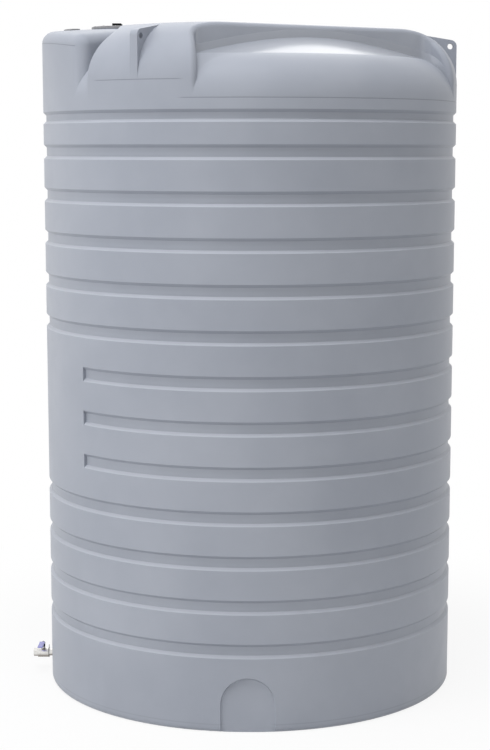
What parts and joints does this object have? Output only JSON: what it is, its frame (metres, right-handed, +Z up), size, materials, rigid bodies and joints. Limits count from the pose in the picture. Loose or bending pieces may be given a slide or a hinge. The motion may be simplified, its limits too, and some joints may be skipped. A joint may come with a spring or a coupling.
{
  "type": "water tank",
  "caption": "Upright ribbed plastic water tank with roof lobes and lifting webs, a strainer inlet with a latched lid, and a ball valve outlet.",
  "frame": {"origin": "centre of the flat base, on the tank's axis", "axes": "+Z up along the tank's axis, -X towards the outlet valve and the inlet platform"},
  "size_m": [2.269, 2.16, 3.4838],
  "materials": {
    "shell_plastic": "satin blue-grey polyethylene, as moulded",
    "fitting_plastic": "grey moulded plastic",
    "black_plastic": "black moulded plastic",
    "seal_rubber": "black rubber",
    "bright_steel": "bright zinc plated steel",
    "nickel_brass": "nickel plated brass",
    "chrome_plate": "polished chrome plate",
    "seat_plastic": "white fluoroplastic",
    "blue_vinyl": "blue dipped vinyl"
  },
  "bodies": {
    "tank": {"tank_shell": "shell_plastic", "inlet_gasket": "seal_rubber", "inlet_ring": "fitting_plastic", "ring_screws": "bright_steel", "strainer_basket": "fitting_plastic", "inlet_lid": "fitting_plastic", "port_grommet": "seal_rubber", "port_plug": "fitting_plastic", "inner_seal": "seal_rubber", "outlet_fitting": "nickel_brass", "outer_seal": "seal_rubber", "outlet_backnut": "nickel_brass", "outlet_nipple": "nickel_brass", "nipple_locknut": "bright_steel", "valve_body": "nickel_brass", "valve_end_cap": "nickel_brass", "valve_seats": "seat_plastic", "stem_packing": "seat_plastic", "gland_nut": "black_plastic"},
    "valve_handle": {"valve_ball": "chrome_plate", "valve_stem": "nickel_brass", "valve_lever": "bright_steel", "lever_sleeve": "blue_vinyl", "lever_nut": "bright_steel"},
    "lid_latch": {"lid_knob": "black_plastic", "latch_bar": "black_plastic", "knob_screw": "bright_steel"}
  },
  "joints": [
    {"name": "lever_turn", "type": "hinge", "parent": "tank", "child": "valve_handle", "pos_m": [-1.138, 0, 0.147], "axis": [0, 0, -1], "range_deg": [0, 90]},
    {"name": "knob_turn", "type": "hinge", "parent": "tank", "child": "lid_latch", "pos_m": [-0.692, 0, 3.46], "axis": [0, 0, 1], "range_deg": [0, 90]}
  ]
}
